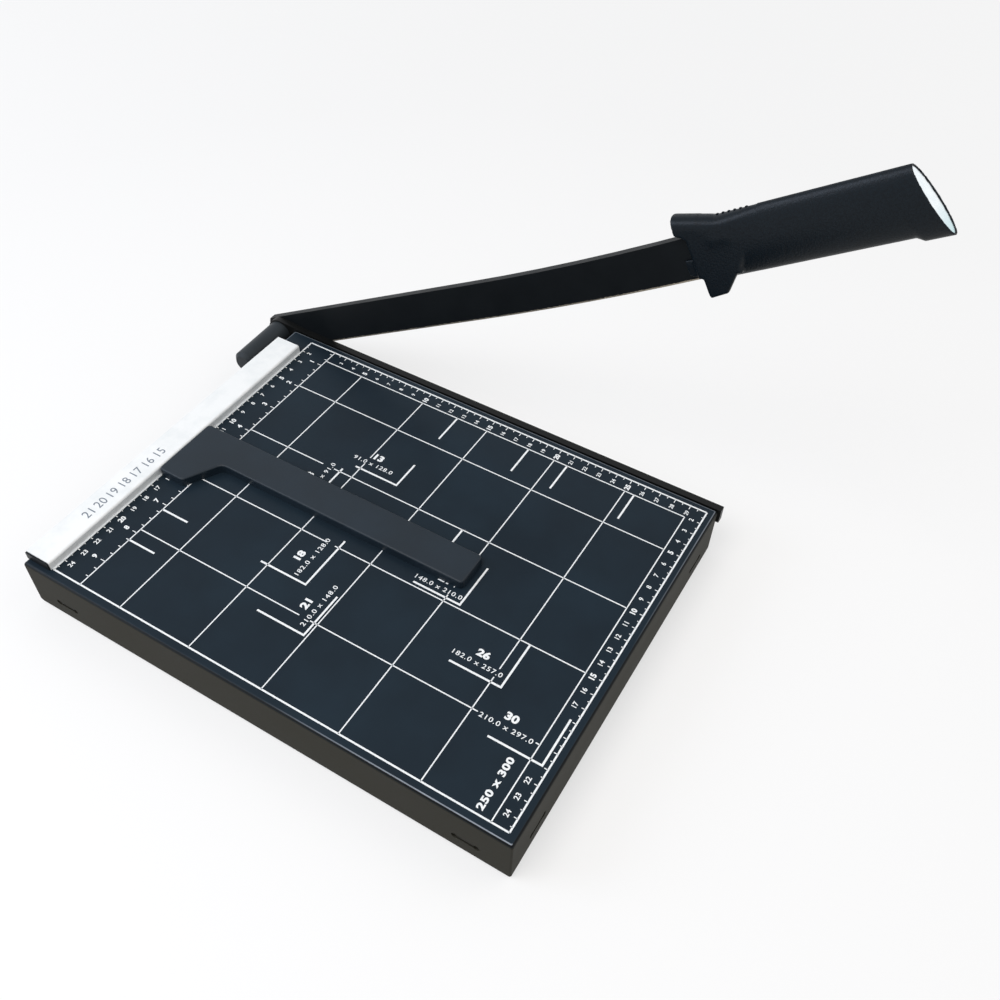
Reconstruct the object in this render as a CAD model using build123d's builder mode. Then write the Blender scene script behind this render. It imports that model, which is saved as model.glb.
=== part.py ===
"""Guillotine paper cutter: folded steel base, bed knife, spring-loaded blade arm and sliding guide.

Millimetres. X runs along the cutting line, from the pivot to the handle. Y runs away from the
operator. Z is up, and Z = 0 is the desk. The origin is under the middle of the cutter's outline.
"""
from build123d import *
import math
import os

os.makedirs("parts", exist_ok=True)

# ---- Driving dimensions ------------------------------------------------------------------

# Base tray, folded from one sheet
tray_length = 325.5
tray_width = 249.5
tray_height = 34.0
tray_left_x = -183.0
cut_line_y = 122.5
sheet = 1.0
bend_radius = 2.0
corner_radius = 1.2
relief_radius = 4.0
foot_lift = 3.0

# Bed knife, the fixed lower blade on the far wall
knife_thickness = 4.5
knife_depth = 10.5
knife_rise = 0.5
knife_overhang = 1.8
knife_screw_inset = 34.0
knife_screw_drop = 5.8
knife_screw_count = 4

# Pivot at the bed knife's lug
pivot_overhang = 14.5
pivot_drop = 8.2
lug_radius = 10.2
lug_join = 8.0
bolt_radius = 4.0
bolt_head_radius = 7.5
bolt_head_height = 3.6
bolt_socket_radius = 2.6
bolt_socket_depth = 2.2
washer_thickness = 1.2
washer_radius = 7.2
spring_wire_radius = 0.8
spring_coil_radius = 5.6
spring_turns = 6
spring_length = 21.0
pivot_nut_flats = 13.0
pivot_nut_height = 8.0
sleeve_radius = 9.0
sleeve_end_radius = 8.3
sleeve_wall = 0.7
sleeve_length = 41.5
sleeve_end = 1.6
sleeve_chamfer = 2.2

# Cutting arm, drawn in its own axes: s along the arm from the pivot, n across it
arm_rest_angle = 30.0
arm_thickness = 5.0
arm_root_radius = 13.3
arm_top = 10.2
arm_top_at_bend = 8.6
arm_bottom = 15.3
arm_bend_start = 186.0
arm_bend_radius = 2450.0
arm_blade_end = 345.0
bevel_start = 26.0
bevel_height = 6.0
bevel_land = 0.4
tang_width = 14.0
tang_margin = 5.0

# Handle: two moulded halves round the tang
handle_start = 352.0
handle_end_top = 455.5
handle_tilt = 3.1
handle_rise = 4.4
handle_height = 34.2
handle_thickness = 12.0
handle_slant = 18.5
handle_wall = 2.0
heel_length = 7.5
heel_run = 3.4
heel_drop = 2.3
hood_start = 334.4
hood_gap = 3.6
hood_lean = 0.4
collar_near_start = 339.8
collar_far_start = 336.0
collar_end = 354.5
collar_top = 25.8
collar_back_top = 22.1
collar_far_bottom = 7.0
collar_near_bottom = 9.2
collar_round = 5.6
cheek_end = 370.0
cheek_height = 4.7
cheek_root = 364.2
cheek_depth = 6.0
guard_start = 342.2
guard_notch = 18.5
guard_tip_start = 342.8
guard_depth = 20.7
guard_tip_end = 353.1
guard_tip_rise = 1.5
guard_end = 361.4
lip_start = 334.6
lip_top = 1.4
lip_bottom = 7.1
lip_thickness = 1.5
cap_rim = 1.0
cap_inset = 0.5
cap_thickness = 2.4
cap_seat = 2.0
cavity_start = 12.0
handle_screw_head_radius = 2.8
handle_screw_head_depth = 2.2
handle_boss_radius = 3.2
handle_screw_count = 3
handle_screw_first = 16.0
handle_screw_pitch = 32.0

# Paper rule along the left edge
rule_width = 18.1
rule_height = 6.0
rule_far_inset = 17.8
rule_near_inset = 4.0
rule_cover = 0.8
rule_cover_inset = 1.0
rule_radius = 1.5
rule_screw_bite = 4.0
rule_screw_count = 3
rule_screw_end_inset = 24.0

# Paper guide, a flat T that slides along the rule
guide_length = 206.0
guide_far_inset = 110.3
guide_height = 6.4
guide_stem_width = 23.3
guide_head_width = 46.0
guide_head_length = 18.6
guide_head_slope_run = 12.4
guide_throat_radius = 6.0
guide_corner_radius = 2.5
guide_edge_radius = 1.2
magnet_radius = 5.0
magnet_thickness = 2.5
magnet_count = 3

# Corner blocks, clipped into slots in the walls, and the rubber feet in them
slot_length = 16.5
slot_height = 2.6
slot_end_radius = 1.9
slot_from_corner = 26.5
slot_drop = 23.5
tab_length = 10.0
tab_height = 1.8
tab_reach = 0.5
block_size = 38.0
block_plate = 3.0
block_leg = 2.5
foot_radius = 11.0
foot_seat = 1.2
foot_stem_radius = 3.0
foot_edge = 0.8

# M3 screws and nuts
m3_radius = 1.5
m3_head_radius = 2.8
m3_nut_flats = 5.5
m3_nut_height = 2.4
screw_tail = 1.5
pan_head_radius = 2.9
pan_head_height = 1.8
cross_width = 0.9
cross_length = 2.4
cross_depth = 1.1

# Clearances
running_fit = 0.05
shear_gap = 0.05
thread_fit = 0.05
moulding_fit = 0.15
slide_gap = 0.3

# ---- Places worked out from them ---------------------------------------------------------

board_z = foot_lift + tray_height
tray_right_x = tray_left_x + tray_length
tray_far_y = cut_line_y - knife_thickness
tray_near_y = tray_far_y - tray_width
tray_mid_x = (tray_left_x + tray_right_x) / 2
tray_mid_y = (tray_near_y + tray_far_y) / 2

knife_top_z = board_z + knife_rise
knife_bottom_z = knife_top_z - knife_depth
knife_mid_z = (knife_top_z + knife_bottom_z) / 2
knife_screw_z = knife_top_z - knife_screw_drop
knife_right_x = tray_right_x + knife_overhang
knife_left_x = tray_left_x + lug_join
knife_screw_span = tray_length - 2 * knife_screw_inset
knife_screw_step = knife_screw_span / (knife_screw_count - 1)
knife_screw_x = [
    tray_left_x + knife_screw_inset + i * knife_screw_step for i in range(knife_screw_count)
]

pivot_x = tray_left_x - pivot_overhang
pivot_z = board_z - pivot_drop
arm_near_y = cut_line_y + shear_gap
arm_far_y = arm_near_y + arm_thickness
arm_mid_y = (arm_near_y + arm_far_y) / 2

rule_right_x = tray_left_x + rule_width
rule_far_y = tray_far_y - rule_far_inset
rule_near_y = tray_near_y + rule_near_inset
slot_z = board_z - slot_drop


def upright(y):
    """Plane at Y = y that faces the operator: sketch x is X, sketch y is Z."""
    return Plane.XZ.offset(-y)


def facing(x, y, z, direction):
    """Plane at a point, with its normal along direction and its x axis along the world's X."""
    return Plane(origin=(x, y, z), x_dir=(1, 0, 0), z_dir=direction)


FAR = (0, 1, 0)
NEAR = (0, -1, 0)
DOWN = (0, 0, -1)
SINK = (Align.CENTER, Align.CENTER, Align.MAX)
RISE = (Align.CENTER, Align.CENTER, Align.MIN)


def arm_plane(y):
    """Plane of the arm at Y = y: sketch x is s along the arm, sketch y is n across it."""
    angle = math.radians(arm_rest_angle)
    along = (math.cos(angle), 0, math.sin(angle))
    return Plane(origin=(pivot_x, y, pivot_z), x_dir=along, z_dir=NEAR)


def arm_point(s, n, y):
    """World point at (s, n) of the arm's plane at Y = y."""
    return arm_plane(y).from_local_coords(Vector(s, n, 0))


def arm_direction(s, n):
    """World direction of the vector (s, n) in the arm's plane."""
    return arm_point(s, n, 0) - arm_point(0, 0, 0)


def cross_recess(depth):
    """Cross slot for a screwdriver, sunk into the head at the current location."""
    Box(cross_length, cross_width, depth, align=SINK, mode=Mode.SUBTRACT)
    Box(cross_width, cross_length, depth, align=SINK, mode=Mode.SUBTRACT)


def save(builder, name):
    builder.part.label = name
    export_step(builder.part, f"parts/{name}.step")


# ---- Base tray ---------------------------------------------------------------------------

slot_run_x = [tray_left_x + slot_from_corner, tray_right_x - slot_from_corner]
slot_run_y = [tray_near_y + slot_from_corner, tray_far_y - slot_from_corner]
slot_end = slot_length / 2 - slot_end_radius
rule_screw_span = rule_far_y - rule_near_y - 2 * rule_screw_end_inset
rule_screw_step = rule_screw_span / (rule_screw_count - 1)
rule_screw_y = [
    rule_near_y + rule_screw_end_inset + i * rule_screw_step for i in range(rule_screw_count)
]
rule_screw_x = tray_left_x + (rule_width - rule_cover) / 2

with BuildPart() as base_tray:
    with BuildSketch(Plane.XY.offset(foot_lift)):
        with Locations((tray_mid_x, tray_mid_y)):
            RectangleRounded(tray_length, tray_width, corner_radius)
    extrude(amount=tray_height)
    fillet(base_tray.faces().sort_by(Axis.Z)[-1].edges(), radius=bend_radius)
    offset(amount=-sheet, openings=base_tray.faces().sort_by(Axis.Z)[0])
    # The lower corners of the walls are cut round at the pivot side
    for y in (tray_near_y, tray_far_y):
        with BuildSketch(upright(y + sheet)):
            with Locations((tray_left_x, foot_lift)):
                Rectangle(2 * relief_radius, 2 * relief_radius)
            with Locations((tray_left_x + relief_radius, foot_lift + relief_radius)):
                Circle(relief_radius, mode=Mode.SUBTRACT)
        extrude(amount=2 * sheet, mode=Mode.SUBTRACT)
    # Slots for the corner blocks' tabs, two in each wall, with round relief at their ends
    for x in slot_run_x:
        with BuildSketch(upright(tray_far_y + sheet)):
            with Locations((x, slot_z)):
                Rectangle(slot_length - 2 * slot_end_radius, slot_height)
            with Locations((x - slot_end, slot_z), (x + slot_end, slot_z)):
                Circle(slot_end_radius)
        extrude(amount=tray_width + 2 * sheet, mode=Mode.SUBTRACT)
    for y in slot_run_y:
        with BuildSketch(Plane.YZ.offset(tray_left_x - sheet)):
            with Locations((y, slot_z)):
                Rectangle(slot_length - 2 * slot_end_radius, slot_height)
            with Locations((y - slot_end, slot_z), (y + slot_end, slot_z)):
                Circle(slot_end_radius)
        extrude(amount=tray_length + 2 * sheet, mode=Mode.SUBTRACT)
    # Holes for the bed knife's screws and the rule's screws
    for x in knife_screw_x:
        with Locations(facing(x, tray_far_y, knife_screw_z, FAR)):
            Cylinder(m3_radius + thread_fit, 3 * sheet, mode=Mode.SUBTRACT)
    for y in rule_screw_y:
        with Locations((rule_screw_x, y, board_z)):
            Cylinder(m3_radius + thread_fit, 3 * sheet, mode=Mode.SUBTRACT)
save(base_tray, "base_tray")

# ---- Bed knife ---------------------------------------------------------------------------

with BuildPart() as bed_knife:
    with BuildSketch(upright(cut_line_y)):
        with Locations((pivot_x, pivot_z)):
            Circle(lug_radius)
        with Locations((knife_left_x, knife_mid_z)):
            Rectangle(sheet, knife_depth)
        make_hull()
        with Locations((knife_left_x, knife_mid_z)):
            Rectangle(
                knife_right_x - knife_left_x, knife_depth, align=(Align.MIN, Align.CENTER)
            )
        with Locations((pivot_x, pivot_z)):
            Circle(bolt_radius + running_fit, mode=Mode.SUBTRACT)
    extrude(amount=knife_thickness)
    with Locations(*[facing(x, cut_line_y, knife_screw_z, FAR) for x in knife_screw_x]):
        CounterSinkHole(m3_radius + thread_fit, m3_head_radius + thread_fit)
save(bed_knife, "bed_knife")

m3_head_height = m3_head_radius - m3_radius
m3_length = knife_thickness + sheet + m3_nut_height + screw_tail

with BuildPart() as bed_knife_screws:
    with Locations(*[facing(x, cut_line_y, knife_screw_z, FAR) for x in knife_screw_x]):
        Cone(m3_radius, m3_head_radius, m3_head_height, align=SINK)
        Cylinder(m3_radius, m3_length, align=SINK)
        cross_recess(cross_depth)
save(bed_knife_screws, "bed_knife_screws")

with BuildPart() as bed_knife_nuts:
    with BuildSketch(upright(tray_far_y - sheet)):
        with Locations(*[(x, knife_screw_z) for x in knife_screw_x]):
            RegularPolygon(m3_nut_flats / 2, 6, major_radius=False)
            Circle(m3_radius + thread_fit, mode=Mode.SUBTRACT)
    extrude(amount=m3_nut_height)
save(bed_knife_nuts, "bed_knife_nuts")

# ---- Pivot: bolt, washers, spring, lock nut and sleeve -----------------------------------

head_washer_y = arm_far_y + running_fit
bolt_head_y = head_washer_y + washer_thickness
knife_near_y = tray_far_y
spring_far_y = knife_near_y - washer_thickness
spring_near_y = spring_far_y - spring_length
nut_far_y = spring_near_y - washer_thickness
nut_near_y = nut_far_y - pivot_nut_height
bolt_end_y = nut_near_y - screw_tail


def pivot_washer(y):
    """Washer on the pivot's axis, from Y = y towards the operator."""
    with BuildPart() as washer:
        with BuildSketch(upright(y)):
            with Locations((pivot_x, pivot_z)):
                Circle(washer_radius)
                Circle(bolt_radius + running_fit, mode=Mode.SUBTRACT)
        extrude(amount=washer_thickness)
    return washer


with BuildPart() as pivot_bolt:
    with Locations(facing(pivot_x, bolt_head_y, pivot_z, FAR)):
        Cylinder(bolt_head_radius, bolt_head_height, align=RISE)
        Cylinder(bolt_radius, bolt_head_y - bolt_end_y, align=SINK)
    fillet(pivot_bolt.edges().sort_by(Axis.Y)[-1], radius=bolt_head_height / 2)
    with BuildSketch(upright(bolt_head_y + bolt_head_height)):
        with Locations((pivot_x, pivot_z)):
            RegularPolygon(bolt_socket_radius, 6)
    extrude(amount=bolt_socket_depth, mode=Mode.SUBTRACT)
save(pivot_bolt, "pivot_bolt")

pivot_head_washer = pivot_washer(bolt_head_y)
save(pivot_head_washer, "pivot_head_washer")

pivot_thrust_washer = pivot_washer(knife_near_y)
save(pivot_thrust_washer, "pivot_thrust_washer")

pivot_spring_washer = pivot_washer(spring_near_y)
save(pivot_spring_washer, "pivot_spring_washer")

coil_far_y = spring_far_y - spring_wire_radius - running_fit
coil_near_y = spring_near_y + spring_wire_radius + running_fit
coil_length = coil_far_y - coil_near_y

with BuildPart() as pivot_spring:
    with BuildLine() as coil:
        Helix(
            pitch=coil_length / spring_turns,
            height=coil_length,
            radius=spring_coil_radius,
            center=(pivot_x, coil_far_y, pivot_z),
            direction=NEAR,
        )
    with BuildSketch(Plane(origin=coil.line @ 0, z_dir=coil.line % 0)):
        Circle(spring_wire_radius)
    sweep(path=coil.line, is_frenet=True)
save(pivot_spring, "pivot_spring")

with BuildPart() as pivot_nut:
    with BuildSketch(upright(nut_far_y)):
        with Locations((pivot_x, pivot_z)):
            RegularPolygon(pivot_nut_flats / 2, 6, major_radius=False)
            Circle(bolt_radius + thread_fit, mode=Mode.SUBTRACT)
    extrude(amount=pivot_nut_height)
save(pivot_nut, "pivot_nut")

sleeve_floor = sleeve_length - sleeve_end
sleeve_rim = sleeve_end_radius - sleeve_chamfer
along_pivot = Plane(origin=(pivot_x, knife_near_y, pivot_z), x_dir=(1, 0, 0), z_dir=DOWN)

with BuildPart() as spring_sleeve:
    # Half section: sketch x is the radius, sketch y the distance from the bed knife
    with BuildSketch(along_pivot):
        Polygon(
            (sleeve_radius - sleeve_wall, 0),
            (sleeve_radius, 0),
            (sleeve_end_radius, sleeve_length - sleeve_chamfer),
            (sleeve_rim, sleeve_length),
            (0, sleeve_length),
            (0, sleeve_floor),
            (sleeve_rim, sleeve_floor),
            (sleeve_end_radius - sleeve_wall, sleeve_floor - sleeve_chamfer),
            align=None,
        )
    revolve(axis=Axis((pivot_x, knife_near_y, pivot_z), NEAR))
save(spring_sleeve, "spring_sleeve")

# ---- Cutting arm -------------------------------------------------------------------------


def arm_bow_at(s):
    """Height that the arm's upsweep has reached at s."""
    return (s - arm_bend_start) ** 2 / (2 * arm_bend_radius)


arm_bow = arm_bow_at(arm_blade_end)
arm_root_s = math.sqrt(arm_root_radius**2 - arm_top**2)
bevel_depth = arm_thickness - bevel_land
bevel_slope = bevel_height / bevel_depth
taper = math.atan2(arm_top_at_bend - arm_top, arm_bend_start + arm_root_s)

handle_angle = math.radians(handle_tilt)
handle_along = (math.cos(handle_angle), math.sin(handle_angle))


def on_handle(distance, height):
    """Point (s, n) at a distance along the handle's axis and a height above it."""
    s = handle_start + distance * handle_along[0] - height * handle_along[1]
    n = handle_rise + distance * handle_along[1] + height * handle_along[0]
    return (s, n)


handle_screw_at = [
    handle_screw_first + i * handle_screw_pitch for i in range(handle_screw_count)
]
tang_back = arm_blade_end - handle_start - 2 * handle_wall
tang_length = handle_screw_at[-1] + tang_margin


with BuildPart() as cutting_arm:
    with BuildSketch(arm_plane(arm_far_y)):
        with BuildLine():
            Line((0, -arm_root_radius), (bevel_start, -arm_bottom))
            Line((bevel_start, -arm_bottom), (arm_bend_start, -arm_bottom))
            TangentArc(
                (arm_bend_start, -arm_bottom),
                (arm_blade_end, arm_bow - arm_bottom),
                tangent=(1, 0),
            )
            Line((arm_blade_end, arm_bow - arm_bottom), (arm_blade_end, arm_bow + arm_top_at_bend))
            TangentArc(
                (arm_bend_start, arm_top_at_bend),
                (arm_blade_end, arm_bow + arm_top_at_bend),
                tangent=(math.cos(taper), math.sin(taper)),
            )
            Line((arm_bend_start, arm_top_at_bend), (-arm_root_s, arm_top))
            ThreePointArc(
                (-arm_root_s, arm_top), (-arm_root_radius, 0), (0, -arm_root_radius)
            )
        make_face()
        Polygon(
            on_handle(tang_back, -tang_width / 2),
            on_handle(tang_length, -tang_width / 2),
            on_handle(tang_length, tang_width / 2),
            on_handle(tang_back, tang_width / 2),
            align=None,
        )
        Circle(bolt_radius + running_fit, mode=Mode.SUBTRACT)
        with Locations(*[on_handle(d, 0) for d in handle_screw_at]):
            Circle(handle_boss_radius + moulding_fit, mode=Mode.SUBTRACT)
    extrude(amount=arm_thickness)
    # The lower edge is ground from the far face down to a land at the near face, first along
    # the straight root and then round the upsweep
    corner = arm_point(arm_bend_start, -arm_bottom, arm_far_y)
    with BuildSketch(Plane(origin=corner, x_dir=FAR, z_dir=arm_direction(1, 0))) as ground:
        Polygon(
            (sheet, bevel_height + sheet * bevel_slope),
            (-bevel_depth - sheet / bevel_slope, -sheet),
            (sheet, -sheet),
            align=None,
        )
    extrude(amount=bevel_start - arm_bend_start, mode=Mode.SUBTRACT)
    bend_centre = arm_point(arm_bend_start, arm_bend_radius - arm_bottom, arm_far_y)
    bend_angle = math.degrees((arm_blade_end + sheet - arm_bend_start) / arm_bend_radius)
    revolve(
        ground.sketch,
        axis=Axis(bend_centre, NEAR),
        revolution_arc=bend_angle,
        mode=Mode.SUBTRACT,
    )
save(cutting_arm, "cutting_arm")

# ---- Handle ------------------------------------------------------------------------------

slant = math.radians(handle_slant)
grip_length = handle_end_top - handle_start + handle_height
heel_start = handle_end_top - handle_start - heel_length
boss_length = handle_thickness - handle_wall
handle_far_y = arm_mid_y + handle_thickness / 2
handle_near_y = arm_mid_y - handle_thickness / 2
handle_screw_length = handle_thickness - 2 * handle_wall
hood_bottom = arm_top_at_bend + arm_bow_at(hood_start)
hood_front = hood_start - hood_lean
pocket_start = hood_front - sheet
guard_far_y = arm_near_y - moulding_fit


def across_handle(distance):
    """Plane across the handle's axis: sketch x is away from the operator, sketch y is up."""
    origin = arm_point(*on_handle(distance, 0), arm_mid_y)
    return Plane(origin=origin, x_dir=FAR, z_dir=arm_direction(*handle_along))


def end_plane(inset):
    """Plane of the oblique end, moved into the handle by inset."""
    top_s = handle_end_top - inset / math.cos(slant)
    origin = arm_point(top_s, handle_rise + handle_height / 2, arm_mid_y)
    return Plane(origin=origin, z_dir=arm_direction(math.cos(slant), math.sin(slant)))


def oval_bar(margin):
    """Oval bar along the handle, smaller than the grip by margin all round, with its heel."""
    half = handle_thickness / 2 - margin
    half_height = handle_height / 2 - margin
    straight = heel_start + heel_run
    with BuildPart() as bar:
        with BuildSketch(across_handle(0)):
            Ellipse(half, half_height)
        extrude(amount=heel_start)
        with BuildSketch(across_handle(heel_start)):
            Ellipse(half, half_height)
        with BuildSketch(across_handle(straight)):
            with Locations((0, -heel_drop / 2)):
                Ellipse(half, half_height + heel_drop / 2)
        loft()
        with BuildSketch(across_handle(straight)):
            with Locations((0, -heel_drop / 2)):
                Ellipse(half, half_height + heel_drop / 2)
        extrude(amount=grip_length - straight)
    return bar.part


def stretch(bar, back, front):
    """The stretch of a bar from one plane to the next along the handle."""
    rest = split(bar, bisect_by=back, keep=Keep.TOP, mode=Mode.PRIVATE)
    return split(rest, bisect_by=front, keep=Keep.BOTTOM, mode=Mode.PRIVATE)


cap_back = cap_inset + cap_thickness
grip = stretch(oval_bar(0), across_handle(0), end_plane(0))
cavity = stretch(oval_bar(handle_wall), across_handle(cavity_start), end_plane(cap_back + cap_seat))
cap_recess = stretch(oval_bar(cap_rim), end_plane(cap_back), end_plane(-sheet))
cap_opening = stretch(oval_bar(handle_wall), end_plane(cap_back + 2 * cap_seat), end_plane(cap_back))
tang_gap = tang_width / 2 + moulding_fit


def collar(front, bottom):
    """Block round the handle's mouth: from s = front beside the blade, further out above it."""
    middle = ((hood_front + collar_end) / 2, (collar_top + collar_back_top) / 2)
    with BuildPart() as block:
        with BuildSketch(arm_plane(handle_far_y)):
            Polygon(
                (front, -bottom),
                (front, hood_bottom),
                (cheek_end, cheek_height),
                (cheek_root, -cheek_depth),
                (cheek_root, -bottom),
                align=None,
            )
            Polygon(
                (hood_start, hood_bottom + hood_gap),
                (hood_front, collar_top),
                (collar_end, collar_back_top),
                (cheek_end, cheek_height),
                (front, hood_bottom),
                align=None,
            )
        extrude(amount=handle_thickness)
        for y in (handle_near_y, handle_far_y):
            along_top = block.edges().sort_by_distance(arm_point(*middle, y))[0]
            fillet(along_top, radius=collar_round)
    return block.part


def finger_guard():
    """Spur that keeps the hand off the edge, and the lip at the near half's mouth."""
    with BuildPart() as guard:
        with BuildSketch(arm_plane(guard_far_y)):
            Polygon(
                (guard_start, 0),
                (guard_start, -guard_notch),
                (guard_tip_start, -guard_depth),
                (guard_tip_end, guard_tip_rise - guard_depth),
                (guard_end, -collar_near_bottom),
                (cheek_root, -cheek_depth),
                (cheek_root, 0),
                align=None,
            )
        extrude(amount=guard_far_y - handle_near_y)
        with BuildSketch(arm_plane(guard_far_y)):
            Polygon(
                (lip_start, lip_top),
                (lip_start, -lip_bottom),
                (collar_near_start, -collar_near_bottom),
                (guard_start, -collar_near_bottom),
                (guard_start, lip_top),
                align=None,
            )
        extrude(amount=lip_thickness)
    return guard.part


def handle_half(front, bottom, keep):
    """One moulded half, with its collar from s = front and n = -bottom."""
    with BuildPart() as half:
        add(grip)
        add(collar(front, bottom))
        if keep == Keep.BOTTOM:
            add(finger_guard())
        add(cavity, mode=Mode.SUBTRACT)
        with BuildSketch(arm_plane(arm_mid_y + boss_length / 2)):
            with Locations(*[on_handle(d, 0) for d in handle_screw_at]):
                Circle(handle_boss_radius)
        extrude(amount=boss_length)
        add(cap_recess, mode=Mode.SUBTRACT)
        add(cap_opening, mode=Mode.SUBTRACT)
        # Pocket for the blade's end and for the tang
        with BuildSketch(arm_plane(arm_far_y + moulding_fit)):
            Polygon(
                (pocket_start, arm_bow_at(pocket_start) - arm_bottom - moulding_fit),
                (arm_blade_end + moulding_fit, arm_bow - arm_bottom - moulding_fit),
                (arm_blade_end + moulding_fit, arm_bow + arm_top_at_bend + moulding_fit),
                (pocket_start, arm_bow_at(pocket_start) + arm_top_at_bend + moulding_fit),
                align=None,
            )
            Polygon(
                on_handle(tang_back, -tang_gap),
                on_handle(cavity_start + handle_wall, -tang_gap),
                on_handle(cavity_start + handle_wall, tang_gap),
                on_handle(tang_back, tang_gap),
                align=None,
            )
        extrude(amount=arm_thickness + 2 * moulding_fit, mode=Mode.SUBTRACT)
        # Holes for the screws, which enter from the far side
        with BuildSketch(arm_plane(handle_far_y)):
            with Locations(*[on_handle(d, 0) for d in handle_screw_at]):
                Circle(handle_screw_head_radius + moulding_fit)
        extrude(amount=handle_screw_head_depth, mode=Mode.SUBTRACT)
        with BuildSketch(arm_plane(handle_far_y)):
            with Locations(*[on_handle(d, 0) for d in handle_screw_at]):
                Circle(m3_radius + thread_fit)
        extrude(amount=handle_screw_length + handle_screw_head_depth, mode=Mode.SUBTRACT)
        split(bisect_by=Plane(origin=(0, arm_mid_y, 0), z_dir=FAR), keep=keep)
    return half


handle_near_half = handle_half(collar_near_start, collar_near_bottom, Keep.BOTTOM)
save(handle_near_half, "handle_near_half")

handle_far_half = handle_half(collar_far_start, collar_far_bottom, Keep.TOP)
save(handle_far_half, "handle_far_half")

screw_seat_y = handle_far_y - handle_screw_head_depth
with BuildPart() as handle_screws:
    with BuildSketch(arm_plane(screw_seat_y + pan_head_height)):
        with Locations(*[on_handle(d, 0) for d in handle_screw_at]):
            Circle(handle_screw_head_radius)
    extrude(amount=pan_head_height)
    with BuildSketch(arm_plane(screw_seat_y)):
        with Locations(*[on_handle(d, 0) for d in handle_screw_at]):
            Circle(m3_radius)
    extrude(amount=handle_screw_length - moulding_fit)
    with BuildSketch(arm_plane(screw_seat_y + pan_head_height)):
        with Locations(*[on_handle(d, 0) for d in handle_screw_at]):
            Rectangle(cross_length, cross_width)
            Rectangle(cross_width, cross_length)
    extrude(amount=cross_depth, mode=Mode.SUBTRACT)
save(handle_screws, "handle_screws")

with BuildPart() as handle_end_cap:
    add(stretch(oval_bar(cap_rim + moulding_fit), end_plane(cap_back), end_plane(cap_inset)))
save(handle_end_cap, "handle_end_cap")

# ---- Paper rule --------------------------------------------------------------------------

core_width = rule_width - rule_cover
core_height = rule_height - rule_cover
rule_length = rule_far_y - rule_near_y

with BuildSketch(upright(rule_far_y)) as rule_core:
    with Locations((tray_left_x, board_z)):
        Rectangle(core_width, core_height, align=(Align.MIN, Align.MIN))
    fillet(vertices().group_by(Axis.X)[-1].sort_by(Axis.Y)[-1], radius=rule_radius - rule_cover)

with BuildPart() as paper_rule:
    extrude(rule_core.sketch, amount=rule_length)
    for y in rule_screw_y:
        with Locations((rule_screw_x, y, board_z)):
            Cylinder(m3_radius + thread_fit, rule_screw_bite, align=RISE, mode=Mode.SUBTRACT)
save(paper_rule, "paper_rule")

with BuildPart() as rule_cover_strip:
    with BuildSketch(upright(rule_far_y)):
        with Locations((tray_left_x, board_z)):
            Rectangle(rule_width, rule_height, align=(Align.MIN, Align.MIN))
        fillet(vertices().group_by(Axis.X)[-1].sort_by(Axis.Y)[-1], radius=rule_radius)
    extrude(amount=rule_length - rule_cover_inset)
    extrude(rule_core.sketch, amount=rule_length, mode=Mode.SUBTRACT)
save(rule_cover_strip, "rule_cover")

with BuildPart() as rule_screws:
    under_z = board_z - sheet
    for y in rule_screw_y:
        with Locations(facing(rule_screw_x, y, under_z, DOWN)):
            Cylinder(pan_head_radius, pan_head_height, align=RISE)
            Cylinder(m3_radius, sheet + rule_screw_bite - moulding_fit, align=SINK)
        with Locations(facing(rule_screw_x, y, under_z - pan_head_height, DOWN)):
            cross_recess(cross_depth)
save(rule_screws, "rule_screws")

# ---- Paper guide -------------------------------------------------------------------------

guide_left_x = rule_right_x + slide_gap
guide_far_y = tray_far_y - guide_far_inset
guide_stem_y = guide_far_y - guide_stem_width
guide_head_y = guide_far_y - guide_head_width
head_right_x = guide_left_x + guide_head_length
throat_x = head_right_x + guide_head_slope_run
magnet_step = (guide_length - 2 * guide_stem_width) / (magnet_count - 1)
magnet_y = guide_far_y - guide_stem_width / 2
magnet_at = [
    (guide_left_x + guide_stem_width + i * magnet_step, magnet_y) for i in range(magnet_count)
]

with BuildPart() as paper_guide:
    with BuildSketch(Plane.XY.offset(board_z)):
        Polygon(
            (guide_left_x, guide_far_y),
            (guide_left_x, guide_head_y),
            (head_right_x, guide_head_y),
            (throat_x, guide_stem_y),
            (guide_left_x + guide_length, guide_stem_y),
            (guide_left_x + guide_length, guide_far_y),
            align=None,
        )
        throat = vertices().sort_by_distance((throat_x, guide_stem_y))[0]
        fillet(throat, radius=guide_throat_radius)
        outer = vertices().filter_by(
            lambda v: v.X < head_right_x + slide_gap or v.X > throat_x + guide_head_width
        )
        fillet(outer, radius=guide_corner_radius)
    extrude(amount=guide_height)
    fillet(paper_guide.faces().sort_by(Axis.Z)[-1].edges(), radius=guide_edge_radius)
    with Locations(*[(x, y, board_z) for x, y in magnet_at]):
        Cylinder(
            magnet_radius + moulding_fit,
            magnet_thickness + moulding_fit,
            align=RISE,
            mode=Mode.SUBTRACT,
        )
save(paper_guide, "paper_guide")

with BuildPart() as guide_magnets:
    with Locations(*[(x, y, board_z + moulding_fit) for x, y in magnet_at]):
        Cylinder(magnet_radius, magnet_thickness, align=RISE)
save(guide_magnets, "guide_magnets")

# ---- Corner blocks and rubber feet -------------------------------------------------------

block_top_z = slot_z + slot_height + block_leg
plate_top_z = foot_lift + block_plate


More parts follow.
